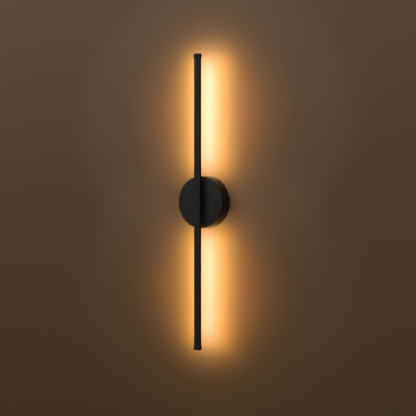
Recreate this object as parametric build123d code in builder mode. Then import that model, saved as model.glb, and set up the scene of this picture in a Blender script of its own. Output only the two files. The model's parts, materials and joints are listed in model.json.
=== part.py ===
from build123d import *

import os
from math import cos, hypot, radians, sin, sqrt, tan

# Tube wall light. A slim tube stands in front of a round canopy and turns on it; its light
# leaves the tube on the wall side only. Millimetres. The wall is the plane Y = 0, the room
# lies towards -Y, and the tube is upright along Z. Every depth below is a distance from the
# wall, so a depth d is the plane Y = -d.

# Tube ------------------------------------------------------------------------------------
tube_length = 600.0  # over the end caps
tube_radius = 7.5
tube_wall = 1.2
mouth_angle = 50.0  # half the angle that the extrusion leaves open to the wall
web_thickness = 1.2  # shelf across the middle of the extrusion
lip_low = 3.0  # underside of the snap lips, above the tube's axis
lip_width = 0.8
cap_wall = 0.75
cap_end = 2.0
cap_length = 8.5
cap_chamfer = 0.5
cap_fit = 0.05

# Lit strips ------------------------------------------------------------------------------
strip_wall = 1.0
strip_gap = 0.7  # degrees between a strip's crown and the mouth's edge
leg_thickness = 0.8
leg_root = 0.2  # how far the legs run up into the crown
leg_fit = 0.12
leg_foot_gap = 0.1  # between the legs and the stem's foot
hook_reach = 0.4
hook_height = 0.55
hook_fit = 0.15
strip_end_gap = 0.2
board_width = 8.0
board_thickness = 1.0
board_margin = 2.0
led_length = 3.5
led_width = 2.8
led_height = 0.7
led_pitch = 9.6
led_first = 11.0  # first chip's centre from the board's inner end

# Driver and its box ----------------------------------------------------------------------
driver_length = 60.0
driver_width = 26.0
driver_height = 20.0
driver_wall = 1.5
driver_corner = 2.0
driver_tab = 8.0
driver_tab_thickness = 2.0
driver_from_stem = 4.5  # between the stem's nut and the driver
lid_thickness = 1.5
lid_lip = 1.5
lid_fit = 0.15
post_radius = 1.6
post_height = 3.0
driver_board_gap = 0.6
driver_board_thickness = 1.2
transformer_length = 16.0
transformer_width = 14.0
transformer_height = 10.0
winding_length = 9.6
winding_overhang = 1.5
winding_corner = 2.0
capacitor_radius = 4.0
capacitor_height = 11.0
capacitor_from_top = 8.0
can_chamfer = 0.4

# Canopy ----------------------------------------------------------------------------------
plate_thickness = 1.5
canopy_wall = 1.2
canopy_edge = 0.5
rim_room = 3.4  # between the driver's outer corners and the cup
plate_room = 2.3  # between the plate's edge and the cup
ear_width = 14.0
ear_room = 0.5
ear_height = 12.0
ear_bend = 2.0
side_screw_depth = 7.0
wall_slot_spacing = 60.0
wall_slot_length = 10.0
wall_slot_width = 4.6
cable_hole_radius = 6.5
cable_hole_height = 10.5
grommet_bore = 4.5
grommet_flange = 2.0
grommet_thickness = 1.5
grommet_edge = 0.5
part_fit = 0.05  # between parts pushed into one another
thread_fit = 0.02  # between a screw and its thread

# Swivel ----------------------------------------------------------------------------------
stem_radius = 4.0
stem_bore = 2.5
stem_running_fit = 0.05
stem_flat = 3.5  # half the width over the stem's two flats
stem_foot_thickness = 1.4
stem_foot_width = 9.0
stem_foot_length = 32.0
stem_window_width = 4.0
stem_window_height = 2.7
foot_screw_place = 11.0
nut_across_flats = 13.0
nut_thickness = 5.0
nut_chamfer = 0.4
stem_past_nut = 1.0
stem_washer_radius = 8.0
stem_washer_thickness = 1.0
spring_thickness = 0.6
spring_rise = 0.5
stop_washer_radius = 9.0
stop_washer_thickness = 1.0
stop_tab_width = 2.4
stop_tab_reach = 17.0
stop_pin_radius = 1.0
stop_pin_place = 15.5
stop_pin_overrun = 0.5
stop_clearance = 3.5  # between the driver and the stop pin
thrust_washer_radius = 8.0
thrust_washer_thickness = 0.8
backing_radius = 20.0
backing_thickness = 1.5
bush_wall = 1.05
bush_flange_radius = 6.5
bush_flange_thickness = 0.5
saddle_radius = 6.0
saddle_crown = 0.8  # the saddle's thickness over the tube's crown
saddle_skirt = 2.6  # how far the saddle reaches down the tube's sides
cover_past_canopy = 5.0

# Screws, terminals and leads -------------------------------------------------------------
m3_radius = 1.5
m3_head_radius = 2.75
m3_head_height = 2.0
m4_radius = 2.0
m4_head_radius = 3.6
m4_head_height = 1.8
cap_screw_radius = 1.25
cap_screw_head = 2.35
cap_screw_length = 9.0
port_wall = 0.75
port_slot = 0.9
port_bite = 0.1  # how far the screw port stands in the tube's wall
head_edge = 0.5
block_length = 32.0
block_width = 16.0
block_height = 13.0
block_low = 20.0
block_corner = 1.0
pole_pitch = 10.5
barrel_radius = 2.9
barrel_bore = 1.7
barrel_length = 13.0
barrel_depth = 8.5
clamp_screw_offset = 4.0
clamp_screw_radius = 1.5
clamp_head_radius = 1.9
clamp_head_height = 1.2
clamp_gap = 0.1
lead_past_clamp = 1.0
lead_radius = 1.0
lead_sides = 8
jacket_radius = 1.8
core_radius = 0.6
lead_clearance = 0.1
lead_tail = 4.0  # inside the driver's box
lead_from_edge = 8.5  # between the mains leads' run and the plate's edge
lead_run_gap = 2.6  # between the lamp's lead and the plate
lead_joint_gap = 2.0  # between the stem's end and the joint in the lead
end_share = 0.9  # of an end run that its arc may take
middle_share = 0.45
core_rise = 0.8  # of the lamp lead's end above the stem's windows
core_lift = 0.6  # of the cores above the stem's foot
core_gap = 0.15
pad_gap = 0.05
pad_lead_in = 4.0
pad_start = 2.0
pad_end = 6.0
tag_radius = 3.6
tag_thickness = 0.8
tag_barrel = 5.0
tag_shoulder = 0.5
tag_neck = 2.0
tag_stop = 1.0
earth_head_radius = 3.2
earth_from_slot = 1.0
earth_below_block = 2.0
connector_length = 7.0
connector_gap = 1.5  # between the connector and the driver
connector_edge = 0.4
socket_at = 17.0
connector_width = 5.0
connector_nose = 3.4
connector_nose_length = 4.0

# Worked out from the sizes above ---------------------------------------------------------
driver_front = plate_thickness + driver_height
stop_pin_tip = driver_front + stop_clearance
stop_washer_depth = stop_pin_tip + stop_pin_overrun
thrust_washer_depth = stop_washer_depth + stop_washer_thickness
backing_depth = thrust_washer_depth + thrust_washer_thickness
canopy_floor = backing_depth + backing_thickness
canopy_depth = canopy_floor + canopy_wall
spring_depth = stop_washer_depth - spring_thickness - spring_rise
stem_washer_depth = spring_depth - stem_washer_thickness
nut_depth = stem_washer_depth - nut_thickness
stem_end = nut_depth - stem_past_nut

nut_corner = nut_across_flats / 2 / cos(radians(30))
driver_top = -(nut_corner + driver_from_stem)
driver_low = driver_top - driver_width
driver_middle = (driver_top + driver_low) / 2
canopy_bore = hypot(driver_length / 2, driver_low) + rim_room
canopy_radius = canopy_bore + canopy_wall
plate_radius = canopy_bore - plate_room
ear_outer = sqrt(canopy_bore**2 - (ear_width / 2) ** 2) - ear_room
ear_inner = ear_outer - plate_thickness

tube_axis = canopy_depth + bush_flange_thickness + saddle_crown + tube_radius
tube_bore = tube_radius - tube_wall
tube_half = tube_length / 2 - cap_end
mouth_half_width = tube_bore * sin(radians(mouth_angle))
mouth_corner = tube_bore * cos(radians(mouth_angle))
web_top = web_thickness / 2
foot_top = web_top + stem_foot_thickness
leg_foot = foot_top + leg_foot_gap
strip_low = canopy_radius + cover_past_canopy
strip_high = tube_half - strip_end_gap
board_top = web_top + board_thickness
board_low = strip_low + board_margin
board_high = strip_high - board_margin
port_bore = cap_screw_radius + thread_fit
port_radius = port_bore + port_wall
port_height = -(tube_bore - port_radius + port_bite)
cap_radius = tube_radius + cap_fit + cap_wall
anchor_thickness = -web_top - (port_height + port_radius) - part_fit * 2
block_middle = block_low + block_width / 2
block_front = plate_thickness + block_height
tag_depth = plate_thickness + tag_thickness

ON_TOP = (Align.CENTER, Align.CENTER, Align.MIN)
SUNK = (Align.CENTER, Align.CENTER, Align.MAX)


def facing(depth):
    """A plane parallel to the wall, seen from the room: +x right, +y up, extruding outwards."""
    return Plane.XZ.offset(depth)


def across(height):
    """A plane square to the tube, centred on its axis, with +y towards the wall."""
    return Plane(origin=(0, -tube_axis, height), x_dir=(1, 0, 0), z_dir=(0, 0, 1))


def in_tube(height):
    """A plane parallel to the wall inside the tube, at a height above its axis."""
    return facing(tube_axis - height).rotated((180, 0, 0))


def pan_head(seat, places, radius, length, head_radius, head_height):
    """Screws with low round heads that sit on a plane, with their shanks through it."""
    with Locations(seat):
        with Locations(*places):
            Cylinder(head_radius, head_height, align=ON_TOP)
            Cylinder(radius, length, align=SUNK)


def countersunk(seat, places, radius, length, head_radius, mode=Mode.ADD):
    """Flush screws let into a plane, or the holes that take them."""
    with Locations(seat):
        with Locations(*places):
            Cone(radius, head_radius, head_radius - radius, align=SUNK, mode=mode)
            Cylinder(radius, length, align=SUNK, mode=mode)


def disc(depth, thickness, outer, inner):
    """A washer round the swivel axis, from a depth towards the room."""
    with BuildSketch(facing(depth)) as ring:
        Circle(outer)
        Circle(inner, mode=Mode.SUBTRACT)
    extrude(ring.sketch, amount=thickness)


def wedge(half_angle, mode):
    """The sector of the tube's section that faces the wall."""
    reach = 2 * tube_radius
    side = reach * sin(radians(half_angle))
    top = reach * cos(radians(half_angle))
    Polygon((0, 0), (side, top), (-side, top), align=None, mode=mode)


# Canopy body -----------------------------------------------------------------------------
driver_screw_place = driver_length / 2 + driver_tab / 2
driver_screws_at = [(-driver_screw_place, driver_middle), (driver_screw_place, driver_middle)]
block_screws_at = [(-pole_pitch / 2, block_middle), (pole_pitch / 2, block_middle)]
earth_at = (wall_slot_spacing / 2 + earth_from_slot, block_low - earth_below_block)

with BuildPart() as mounting_plate:
    with BuildSketch(facing(0)):
        Circle(plate_radius)
        with GridLocations(wall_slot_spacing, 0, 2, 1):
            SlotOverall(wall_slot_length, wall_slot_width, mode=Mode.SUBTRACT)
        with Locations((0, cable_hole_height)):
            Circle(cable_hole_radius, mode=Mode.SUBTRACT)
        with Locations(*driver_screws_at, *block_screws_at):
            Circle(m3_radius + thread_fit, mode=Mode.SUBTRACT)
        with Locations(earth_at):
            Circle(m4_radius + thread_fit, mode=Mode.SUBTRACT)
    extrude(amount=plate_thickness)
    with BuildSketch(Plane.XY.offset(-ear_width / 2)) as ear:
        with BuildLine():
            Polyline(
                (plate_radius - ear_width / 2, 0),
                (ear_outer, 0),
                (ear_outer, -ear_height),
                (ear_inner, -ear_height),
                (ear_inner, -plate_thickness),
                (plate_radius - ear_width / 2, -plate_thickness),
                close=True,
            )
        make_face()
        fillet(ear.vertices().sort_by_distance((ear_outer, 0))[0], ear_bend)
        mirror(about=Plane.YZ)
    extrude(amount=ear_width)
    with BuildSketch(Plane.YZ):
        with Locations((-side_screw_depth, 0)):
            Circle(m4_radius + thread_fit)
    extrude(amount=canopy_radius, both=True, mode=Mode.SUBTRACT)

with BuildPart() as cable_grommet:
    with BuildSketch(facing(0)):
        with Locations((0, cable_hole_height)):
            Circle(cable_hole_radius - part_fit)
    extrude(amount=plate_thickness)
    with BuildSketch(facing(plate_thickness)):
        with Locations((0, cable_hole_height)):
            Circle(cable_hole_radius + grommet_flange)
    extrude(amount=grommet_thickness)
    chamfer(cable_grommet.edges().group_by(Axis.Y)[0], grommet_edge)
    with BuildSketch(facing(0)):
        with Locations((0, cable_hole_height)):
            Circle(grommet_bore)
    extrude(amount=plate_thickness + grommet_thickness, mode=Mode.SUBTRACT)

bush_radius = stem_radius + stem_running_fit + bush_wall
with BuildPart() as canopy_shell:
    with BuildSketch(Plane.XY) as cup:
        with BuildLine():
            Polyline(
                (bush_radius + part_fit, -canopy_depth),
                (canopy_radius, -canopy_depth),
                (canopy_radius, 0),
                (canopy_bore, 0),
                (canopy_bore, -canopy_floor),
                (bush_radius + part_fit, -canopy_floor),
                close=True,
            )
        make_face()
        chamfer(cup.vertices().sort_by_distance((canopy_radius, -canopy_depth))[0], canopy_edge)
    revolve(axis=Axis.Y)
    with BuildSketch(Plane.YZ):
        with Locations((-side_screw_depth, 0)):
            Circle(m4_radius + part_fit)
    extrude(amount=2 * canopy_radius, both=True, mode=Mode.SUBTRACT)

side_screw_length = canopy_radius - ear_inner + plate_thickness
with BuildPart() as canopy_screws:
    seat = Plane(origin=(canopy_radius, -side_screw_depth, 0), z_dir=(1, 0, 0))
    pan_head(seat, [(0, 0)], m4_radius, side_screw_length, m4_head_radius, m4_head_height)
    chamfer(canopy_screws.edges().sort_by(Axis.X)[-1], head_edge)
    mirror(about=Plane.YZ)

with BuildPart() as backing_plate:
    disc(backing_depth, backing_thickness, backing_radius, bush_radius + part_fit)
    with BuildSketch(facing(backing_depth)):
        with Locations((0, -stop_pin_place)):
            Circle(stop_pin_radius + thread_fit)
    extrude(amount=backing_thickness, mode=Mode.SUBTRACT)

with BuildPart() as stop_pin:
    with BuildSketch(facing(stop_pin_tip)):
        with Locations((0, -stop_pin_place)):
            Circle(stop_pin_radius)
    extrude(amount=canopy_floor - stop_pin_tip)

bush_bore = stem_radius + stem_running_fit
with BuildPart() as swivel_bush:
    disc(backing_depth, canopy_depth - backing_depth, bush_radius, bush_bore)
    disc(canopy_depth, bush_flange_thickness, bush_flange_radius, bush_bore)

with BuildPart() as thrust_washer:
    disc(thrust_washer_depth, thrust_washer_thickness, thrust_washer_radius, bush_bore)

# Terminal block: three brass barrels in a moulding, each with two clamp screws.
poles = [-pole_pitch, 0, pole_pitch]
clamps_at = [(x, block_middle + z) for x in poles for z in (-clamp_screw_offset, clamp_screw_offset)]

with BuildPart() as terminal_block:
    with BuildSketch(facing(plate_thickness)) as outline:
        with Locations((0, block_middle)):
            RectangleRounded(block_length, block_width, block_corner)
    extrude(amount=block_height)
    with BuildSketch(Plane.XY.offset(block_low)):
        with Locations(*[(x, -barrel_depth) for x in poles]):
            Circle(barrel_radius + part_fit)
    extrude(amount=block_width, mode=Mode.SUBTRACT)
    with BuildSketch(facing(barrel_depth)):
        with Locations(*clamps_at):
            Circle(clamp_head_radius + part_fit)
    extrude(amount=block_height, mode=Mode.SUBTRACT)
    with BuildSketch(facing(block_front - m3_head_height)):
        with Locations(*block_screws_at):
            Circle(m3_head_radius + part_fit)
    extrude(amount=m3_head_height, mode=Mode.SUBTRACT)
    with BuildSketch(facing(plate_thickness)):
        with Locations(*block_screws_at):
            Circle(m3_radius + part_fit)
    extrude(amount=block_height, mode=Mode.SUBTRACT)

with BuildPart() as terminal_barrels:
    with BuildSketch(Plane.XY.offset(block_middle - barrel_length / 2)):
        with Locations(*[(x, -barrel_depth) for x in poles]):
            Circle(barrel_radius)
            Circle(barrel_bore, mode=Mode.SUBTRACT)
    extrude(amount=barrel_length)
    with BuildSketch(facing(barrel_depth)):
        with Locations(*clamps_at):
            Circle(clamp_screw_radius + thread_fit)
    extrude(amount=block_height, mode=Mode.SUBTRACT)

clamp_tip = barrel_depth + lead_radius + clamp_gap
clamp_seat = barrel_depth + barrel_radius + clamp_gap
with BuildPart() as terminal_screws:
    pan_head(
        facing(clamp_seat), clamps_at, clamp_screw_radius, clamp_seat - clamp_tip,
        clamp_head_radius, clamp_head_height,
    )

with BuildPart() as block_screws:
    block_seat = block_front - m3_head_height
    pan_head(facing(block_seat), block_screws_at, m3_radius, block_seat, m3_head_radius, m3_head_height)

# Driver: a box with screw tabs, a lid let into it, and a board on four posts.
board_depth = plate_thickness + driver_wall + post_height
case_front = driver_front - lid_thickness
cavity_length = driver_length - 2 * driver_wall
cavity_width = driver_width - 2 * driver_wall
board_face = board_depth + driver_board_thickness
mains_depth = board_face + lead_clearance + lead_radius
output_depth = board_face + lead_clearance + jacket_radius
live_height = driver_middle + driver_width / 4
neutral_height = driver_middle - driver_width / 8
driver_board_length = cavity_length - 2 * driver_board_gap
driver_board_width = cavity_width - 2 * driver_board_gap

with BuildPart() as driver_case:
    with BuildSketch(facing(plate_thickness)):
        with Locations((0, driver_middle)):
            RectangleRounded(driver_length, driver_width, driver_corner)
    extrude(amount=case_front - plate_thickness)
    with BuildSketch(facing(plate_thickness + driver_wall)):
        with Locations((0, driver_middle)):
            Rectangle(cavity_length, cavity_width)
    extrude(amount=driver_height, mode=Mode.SUBTRACT)
    with BuildSketch(facing(plate_thickness)):
        with Locations(*driver_screws_at):
            Rectangle(driver_tab, driver_tab)
            Circle(m3_radius + part_fit, mode=Mode.SUBTRACT)
    extrude(amount=driver_tab_thickness)
    with BuildSketch(facing(plate_thickness + driver_wall)):
        with Locations((0, driver_middle)):
            with GridLocations(
                cavity_length - 4 * post_radius, cavity_width - 4 * post_radius, 2, 2
            ):
                Circle(post_radius)
    extrude(amount=post_height)
    with BuildSketch(Plane.YZ.offset(-driver_length / 2)):
        with Locations((-mains_depth, live_height), (-mains_depth, neutral_height)):
            Circle(lead_radius + part_fit)
    extrude(amount=driver_wall, mode=Mode.SUBTRACT)
    with BuildSketch(Plane.YZ.offset(driver_length / 2)):
        with Locations((-output_depth, driver_middle)):
            Circle(jacket_radius + part_fit)
    extrude(amount=-driver_wall, mode=Mode.SUBTRACT)

with BuildPart() as driver_lid:
    with BuildSketch(facing(case_front)):
        with Locations((0, driver_middle)):
            RectangleRounded(driver_length, driver_width, driver_corner)
    extrude(amount=lid_thickness)
    with BuildSketch(facing(case_front)):
        with Locations((0, driver_middle)):
            Rectangle(cavity_length - 2 * lid_fit, cavity_width - 2 * lid_fit)
            Rectangle(
                cavity_length - 2 * driver_wall, cavity_width - 2 * driver_wall, mode=Mode.SUBTRACT
            )
    extrude(amount=-lid_lip)

with BuildPart() as driver_board:
    with BuildSketch(facing(board_depth)):
        with Locations((0, driver_middle)):
            Rectangle(driver_board_length, driver_board_width)
    extrude(amount=driver_board_thickness)

with BuildPart() as driver_transformer:
    with BuildSketch(facing(board_face)):
        with Locations((0, driver_middle)):
            Rectangle(transformer_length, transformer_width)
    extrude(amount=transformer_height)
    with BuildSketch(facing(board_face + transformer_height / 4)):
        with Locations((0, driver_middle)):
            RectangleRounded(
                winding_length, transformer_width + 2 * winding_overhang, winding_corner
            )
    extrude(amount=transformer_height / 2)

capacitors_at = [
    (-transformer_length, driver_middle),
    (transformer_length, driver_top - capacitor_from_top),
]
with BuildPart() as driver_capacitors:
    with BuildSketch(facing(board_face)):
        with Locations(*capacitors_at):
            Circle(capacitor_radius)
    extrude(amount=capacitor_height)
    chamfer(driver_capacitors.edges().group_by(Axis.Y)[0], can_chamfer)

with BuildPart() as driver_screws:
    tab_face = plate_thickness + driver_tab_thickness
    pan_head(facing(tab_face), driver_screws_at, m3_radius, tab_face, m3_head_radius, m3_head_height)

tag_barrel_start = earth_at[1] + tag_radius + tag_shoulder
tag_lead_end = tag_barrel_start + tag_stop
tag_lead_depth = tag_depth + lead_radius
with BuildPart() as earth_tag:
    with BuildSketch(facing(plate_thickness)):
        with Locations(earth_at):
            Circle(tag_radius)
            Rectangle(2 * lead_radius, tag_radius + tag_neck, align=(Align.CENTER, Align.MIN))
            Circle(m4_radius + part_fit, mode=Mode.SUBTRACT)
    extrude(amount=tag_thickness)
    with BuildSketch(Plane.XY.offset(tag_barrel_start)):
        with Locations((earth_at[0], -tag_lead_depth)):
            Circle(lead_radius + tag_thickness)
    extrude(amount=tag_barrel)
    with BuildSketch(Plane.XY.offset(tag_lead_end)):
        with Locations((earth_at[0], -tag_lead_depth)):
            Circle(lead_radius + part_fit)
    extrude(amount=tag_barrel, mode=Mode.SUBTRACT)

with BuildPart() as earth_screw:
    pan_head(facing(tag_depth), [earth_at], m4_radius, tag_depth, earth_head_radius, m4_head_height)
    chamfer(earth_screw.edges().sort_by(Axis.Y)[0], head_edge)


# Leads -----------------------------------------------------------------------------------
def corner_radii(route):
    """An arc for each corner of a route, as large as the runs beside it allow."""
    points = [Vector(*point) for point in route]
    radii = []
    for i in range(1, len(points) - 1):
        before = points[i] - points[i - 1]
        after = points[i + 1] - points[i]
        first_share = end_share if i == 1 else middle_share
        last_share = end_share if i == len(points) - 2 else middle_share
        room = min(before.length * first_share, after.length * last_share)
        turn = radians(before.get_angle(after))
        radii.append(room / tan(turn / 2))
    return radii


def lead(name, route, radius):
    """A lead along straight runs joined by arcs. Its section is an octagon inside the round one."""
    radii = corner_radii(route)
    with BuildPart() as wire:
        with BuildLine() as path:
            FilletPolyline(*route, radius=radii)
        with BuildSketch(Plane(origin=path.line @ 0, z_dir=path.line % 0)) as section:
            RegularPolygon(radius, lead_sides)
        sweep()
    length = sum(edge.length for edge in path.edges())
    share = wire.part.volume / (section.sketch.area * length)
    print(f"{name}: {length:.1f} mm, arcs {[round(r, 1) for r in radii]}, fill {share:.4f}")
    return wire


def straight_lead(start, end, radius):
    """A lead that runs straight from one point to another."""
    with BuildPart() as wire:
        with BuildSketch(Plane(origin=start, z_dir=Vector(*end) - Vector(*start))):
            RegularPolygon(radius, lead_sides)
        extrude(amount=(Vector(*end) - Vector(*start)).length)
    return wire


lead_start = block_middle + clamp_screw_offset - lead_radius - lead_past_clamp
pole_exit = block_low + block_width
edge_run = plate_radius - lead_from_edge
driver_end = driver_length / 2
lead_inside = driver_wall + lead_tail

live_lead = lead(
    "live_lead",
    [
        (-pole_pitch, -barrel_depth, lead_start),
        (-pole_pitch, -barrel_depth, pole_exit + 5),
        (-pole_pitch - 11.5, -barrel_depth, pole_exit + 5),
        (-edge_run + 4, -barrel_depth, block_low + 4),
        (-edge_run, -mains_depth, 2),
        (-edge_run, -mains_depth, live_height),
        (-driver_end + lead_inside, -mains_depth, live_height),
    ],
    lead_radius,
)

neutral_lead = lead(
    "neutral_lead",
    [
        (0, -barrel_depth, lead_start),
        (0, -barrel_depth, pole_exit + 8),
        (-pole_pitch - 11.5, -barrel_depth - 3.5, pole_exit + 8),
        (-edge_run + 2, -barrel_depth - 3.5, block_low + 5),
        (-edge_run - 2.5, -mains_depth - 3.5, 1),
        (-edge_run - 2.5, -mains_depth, neutral_height),
        (-driver_end + lead_inside, -mains_depth, neutral_height),
    ],
    lead_radius,
)

earth_lead = lead(
    "earth_lead",
    [
        (pole_pitch, -barrel_depth, lead_start),
        (pole_pitch, -barrel_depth, pole_exit + 5.5),
        (earth_at[0] - 9, -barrel_depth, pole_exit + 5.5),
        (earth_at[0], -tag_lead_depth, tag_lead_end + 10),
        (earth_at[0], -tag_lead_depth, tag_lead_end),
    ],
    lead_radius,
)

# The swivel lead leaves the hollow stem on its axis, so that it only twists as the tube turns.
lead_joint = stem_end - lead_joint_gap
lead_run_depth = plate_thickness + jacket_radius + lead_run_gap
lead_run_height = driver_top + connector_width / 2 + connector_gap
plug_end = socket_at + 2 * connector_length

swivel_lead = lead(
    "swivel_lead",
    [
        (0, -lead_joint, 0),
        (0, -lead_run_depth, 0),
        (socket_at - 6, -lead_run_depth, lead_run_height),
        (socket_at, -lead_run_depth, lead_run_height),
    ],
    jacket_radius,
)

output_lead = lead(
    "output_lead",
    [
        (plug_end, -lead_run_depth, lead_run_height),
        (edge_run, -lead_run_depth, lead_run_height),
        (edge_run, -output_depth, driver_middle),
        (driver_end - lead_inside, -output_depth, driver_middle),
    ],
    jacket_radius,
)

with BuildPart() as lead_socket:
    with BuildSketch(Plane.YZ.offset(socket_at)):
        with Locations((-lead_run_depth, lead_run_height)):
            Rectangle(connector_width, connector_width)
    extrude(amount=connector_length)
    chamfer(lead_socket.edges().filter_by(Axis.X), connector_edge)
    with BuildSketch(Plane.YZ.offset(socket_at + connector_length)):
        with Locations((-lead_run_depth, lead_run_height)):
            Rectangle(connector_nose + 2 * part_fit, connector_nose + 2 * part_fit)
    extrude(amount=-connector_nose_length - part_fit, mode=Mode.SUBTRACT)

with BuildPart() as lead_plug:
    with BuildSketch(Plane.YZ.offset(socket_at + connector_length)):
        with Locations((-lead_run_depth, lead_run_height)):
            Rectangle(connector_width, connector_width)
    extrude(amount=connector_length)
    chamfer(lead_plug.edges().filter_by(Axis.X), connector_edge)
    with BuildSketch(Plane.YZ.offset(socket_at + connector_length)):
        with Locations((-lead_run_depth, lead_run_height)):
            Rectangle(connector_nose, connector_nose)
    extrude(amount=-connector_nose_length)

# Tube body -------------------------------------------------------------------------------
foot_screws_at = [(0, -foot_screw_place), (0, foot_screw_place)]

with BuildPart() as tube_body:
    with BuildSketch(across(-tube_half)):
        Circle(tube_radius)
        Circle(tube_bore, mode=Mode.SUBTRACT)
        wedge(mouth_angle, Mode.SUBTRACT)
        Rectangle(2 * tube_bore + tube_wall, web_thickness)
        for side in (-1, 1):
            with Locations((side * (mouth_half_width + lip_width / 2), (lip_low + mouth_corner) / 2)):
                Rectangle(lip_width, mouth_corner - lip_low)
        with Locations((0, port_height)):
            Circle(port_radius)
            Circle(port_bore, mode=Mode.SUBTRACT)
            Rectangle(
                port_slot, port_radius, align=(Align.CENTER, Align.MIN), mode=Mode.SUBTRACT
            )
    extrude(amount=2 * tube_half)
    with BuildSketch(facing(tube_axis)):
        with Locations(*foot_screws_at):
            Circle(m3_radius + part_fit)
    extrude(amount=web_thickness, both=True, mode=Mode.SUBTRACT)


def snap_strip(low, high):
    """A strip that closes the mouth: a crown on the tube's circle and two hooked legs."""
    leg_outer = mouth_half_width - leg_fit
    hook_low = lip_low - hook_fit - hook_height
    leg_inner = leg_outer - leg_thickness
    leg_top = sqrt((tube_radius - strip_wall) ** 2 - leg_inner**2) + leg_root
    with BuildPart() as strip:
        with BuildSketch(across(low)):
            Circle(tube_radius)
            Circle(tube_radius - strip_wall, mode=Mode.SUBTRACT)
            wedge(mouth_angle - strip_gap, Mode.INTERSECT)
            for side in (-1, 1):
                with Locations((side * (leg_outer - leg_thickness / 2), leg_foot)):
                    Rectangle(
                        leg_thickness, leg_top - leg_foot, align=(Align.CENTER, Align.MIN)
                    )
                with Locations((side * (leg_outer + hook_reach / 2), hook_low)):
                    Rectangle(hook_reach, hook_height, align=(Align.CENTER, Align.MIN))
        extrude(amount=high - low)
    return strip


upper_diffuser = snap_strip(strip_low, strip_high)
with BuildPart() as lower_diffuser:
    mirror(upper_diffuser.part, about=Plane.XY)

cover_half = strip_low - strip_end_gap
centre_strip = snap_strip(-cover_half, cover_half)
with BuildPart() as centre_cover:
    add(centre_strip.part)
    with BuildSketch(facing(tube_axis)):
        Circle(stem_radius + part_fit)
    extrude(amount=-2 * tube_radius, mode=Mode.SUBTRACT)

with BuildPart() as upper_led_board:
    with BuildSketch(across(board_low)):
        with Locations((0, web_top)):
            Rectangle(board_width, board_thickness, align=(Align.CENTER, Align.MIN))
    extrude(amount=board_high - board_low)
with BuildPart() as lower_led_board:
    mirror(upper_led_board.part, about=Plane.XY)

led_count = int((board_high - board_low - 2 * led_first) / led_pitch) + 1
with BuildPart() as upper_leds:
    with BuildSketch(in_tube(board_top)):
        with Locations(*[(0, -(board_low + led_first + i * led_pitch)) for i in range(led_count)]):
            Rectangle(led_width, led_length)
    extrude(amount=led_height)
with BuildPart() as lower_leds:
    mirror(upper_leds.part, about=Plane.XY)

with BuildPart() as top_cap:
    with BuildSketch(across(tube_length / 2 - cap_length)):
        Circle(cap_radius)
    extrude(amount=cap_length)
    chamfer(top_cap.edges().sort_by(Axis.Z)[-1], cap_chamfer)
    with BuildSketch(across(tube_length / 2 - cap_length)):
        Circle(tube_radius + cap_fit)
    extrude(amount=cap_length - cap_end, mode=Mode.SUBTRACT)
    countersunk(
        across(tube_length / 2), [(0, port_height)], port_bore, cap_screw_length,
        cap_screw_head + part_fit, Mode.SUBTRACT,
    )
with BuildPart() as bottom_cap:
    mirror(top_cap.part, about=Plane.XY)

with BuildPart() as cap_screws:
    countersunk(
        across(tube_length / 2), [(0, port_height)], cap_screw_radius, cap_screw_length,
        cap_screw_head,
    )
    mirror(about=Plane.XY)

# The stem is one turned piece: a foot in the tube's channel and a hollow shank into the canopy.
shank_length = tube_axis - foot_top - stem_end
flats_length = stop_washer_depth + stop_washer_thickness - stem_end
with BuildPart() as swivel_stem:
    with BuildSketch(facing(tube_axis - web_top)):
        SlotOverall(stem_foot_length, stem_foot_width, rotation=90)
    extrude(amount=-stem_foot_thickness)
    with BuildSketch(facing(tube_axis - foot_top)):
        Circle(stem_radius)
    extrude(amount=-shank_length)
    chamfer(swivel_stem.edges().sort_by(Axis.Y)[-1], nut_chamfer)
    with BuildSketch(facing(tube_axis - foot_top)):
        Circle(stem_bore)
    extrude(amount=-shank_length, mode=Mode.SUBTRACT)
    with BuildSketch(facing(stem_end)):
        for side in (-1, 1):
            with Locations((side * (stem_flat + stem_radius), 0)):
                Rectangle(2 * stem_radius, 2 * stem_radius)
    extrude(amount=flats_length, mode=Mode.SUBTRACT)
    with BuildSketch(Plane.XY):
        with Locations((0, foot_top - tube_axis)):
            Rectangle(
                stem_window_width, stem_window_height, align=(Align.CENTER, Align.MIN)
            )
    extrude(amount=stem_radius, both=True, mode=Mode.SUBTRACT)
    countersunk(
        facing(tube_axis - foot_top).rotated((180, 0, 0)), foot_screws_at, m3_radius + part_fit,
        stem_foot_thickness, m3_head_radius + part_fit, Mode.SUBTRACT,
    )

foot_screw_length = stem_foot_thickness + web_thickness + anchor_thickness
with BuildPart() as foot_screws:
    countersunk(
        in_tube(foot_top), foot_screws_at, m3_radius, foot_screw_length, m3_head_radius
    )

with BuildPart() as anchor_bar:
    with BuildSketch(facing(tube_axis + web_top)):
        SlotOverall(stem_foot_length, stem_foot_width, rotation=90)
        with Locations(*foot_screws_at):
            Circle(m3_radius + thread_fit, mode=Mode.SUBTRACT)
    extrude(amount=anchor_thickness)

with BuildPart() as saddle:
    saddle_face = canopy_depth + bush_flange_thickness
    disc(saddle_face, saddle_crown + saddle_skirt, saddle_radius, stem_radius + part_fit)
    with BuildSketch(across(-saddle_radius)):
        Circle(tube_radius + part_fit)
    extrude(amount=2 * saddle_radius, mode=Mode.SUBTRACT)

with BuildPart() as stop_washer:
    with BuildSketch(facing(stop_washer_depth)):
        Circle(stop_washer_radius)
        Rectangle(stop_tab_width, stop_tab_reach, align=(Align.CENTER, Align.MIN))
        with BuildSketch(mode=Mode.SUBTRACT):
            Circle(stem_radius + part_fit)
            Rectangle(2 * (stem_flat + part_fit), 3 * stem_radius, mode=Mode.INTERSECT)
    extrude(amount=stop_washer_thickness)

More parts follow.
